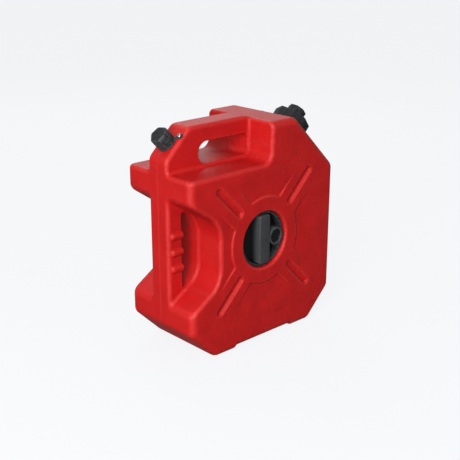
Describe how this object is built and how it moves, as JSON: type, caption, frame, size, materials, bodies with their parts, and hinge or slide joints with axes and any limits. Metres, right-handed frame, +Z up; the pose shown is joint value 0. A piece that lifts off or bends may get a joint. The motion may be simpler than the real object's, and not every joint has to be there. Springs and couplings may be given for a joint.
{
  "type": "jerry can",
  "caption": "Flat upright fuel can with a corner carrying handle, side grip, screwed filler and breather, and a key-locked mounting knob in a central tunnel.",
  "frame": {"origin": "middle of the whole can's footprint, on the ground", "axes": "+X across the width, away from the side grip; +Y from the knob's face to the back; +Z up"},
  "size_m": [0.2472, 0.117, 0.2808],
  "materials": {
    "red_polyethylene": "moulded, fine grain, soft sheen",
    "black_plastic": "satin moulded",
    "dark_grey_plastic": "satin moulded",
    "black_rubber": "matte",
    "zinc_steel": "zinc plated",
    "nickel_plate": "black nickel plated, worn"
  },
  "bodies": {
    "tank": {"tank_body": "red_polyethylene", "lock_housing": "black_plastic", "rear_cup": "black_plastic", "breather_tether": "black_plastic", "tether_screw": "zinc_steel"},
    "spout": {"pour_spout": "black_plastic", "neck_gasket": "black_rubber"},
    "collar": {"filler_collar": "black_plastic"},
    "nozzle_seal": {"nozzle_seal": "black_rubber"},
    "nozzle_cap": {"nozzle_cap": "black_plastic"},
    "breather_seal": {"breather_seal": "black_rubber"},
    "breather_cap": {"breather_cap": "black_plastic"},
    "knob": {"lock_knob": "dark_grey_plastic", "knob_back": "black_plastic", "knob_screw_1": "zinc_steel", "knob_screw_2": "zinc_steel", "knob_screw_3": "zinc_steel", "cylinder_case": "nickel_plate", "lock_shaft": "zinc_steel", "drive_pin": "zinc_steel", "thrust_washer": "zinc_steel", "shaft_spring": "zinc_steel", "spring_washer": "zinc_steel", "retaining_clip": "zinc_steel", "cross_bar": "zinc_steel", "shaft_nut": "zinc_steel"},
    "key_plug": {"key_plug": "nickel_plate", "lock_cam": "zinc_steel"},
    "bolt": {"lock_bolt": "zinc_steel"}
  },
  "joints": [
    {"name": "spout_lift", "type": "slide", "parent": "tank", "child": "spout", "axis": [0.7071, 0, 0.7071], "range_m": [0, 0.0121]},
    {"name": "collar_turn", "type": "hinge", "parent": "spout", "child": "collar", "pos_m": [0.08771, 0, 0.2425], "axis": [0.7071, 0, 0.7071], "range_deg": [0, 1080]},
    {"name": "nozzle_cap_lift", "type": "slide", "parent": "spout", "child": "nozzle_seal", "axis": [0.7071, 0, 0.7071], "range_m": [0, 0.0076]},
    {"name": "nozzle_cap_turn", "type": "hinge", "parent": "nozzle_seal", "child": "nozzle_cap", "pos_m": [0.08771, 0, 0.2425], "axis": [0.7071, 0, 0.7071], "range_deg": [0, 1080]},
    {"name": "breather_lift", "type": "slide", "parent": "tank", "child": "breather_seal", "axis": [-0.7071, 0, 0.7071], "range_m": [0, 0.0101]},
    {"name": "breather_cap_turn", "type": "hinge", "parent": "breather_seal", "child": "breather_cap", "pos_m": [-0.10356, 0, 0.26073], "axis": [-0.7071, 0, 0.7071], "range_deg": [0, 1440]},
    {"name": "knob_turn", "type": "hinge", "parent": "tank", "child": "knob", "pos_m": [0.00021, -0.0585, 0.1332], "axis": [0, -1, 0], "range_deg": [0, 90]},
    {"name": "key_turn", "type": "hinge", "parent": "knob", "child": "key_plug", "pos_m": [0.02021, -0.0585, 0.1332], "axis": [0, 1, 0], "range_deg": [0, 90]},
    {"name": "bolt_throw", "type": "slide", "parent": "knob", "child": "bolt", "axis": [1, 0, 0], "range_m": [0, 0.0029]}
  ],
  "couplings": [
    {"joint": "spout_lift", "follows": "collar_turn", "m_per_rad": 0.00063662},
    {"joint": "nozzle_cap_lift", "follows": "nozzle_cap_turn", "m_per_rad": 0.00039789},
    {"joint": "breather_lift", "follows": "breather_cap_turn", "m_per_rad": 0.00039789},
    {"joint": "bolt_throw", "follows": "key_turn", "m_per_rad": 0.0018006}
  ]
}
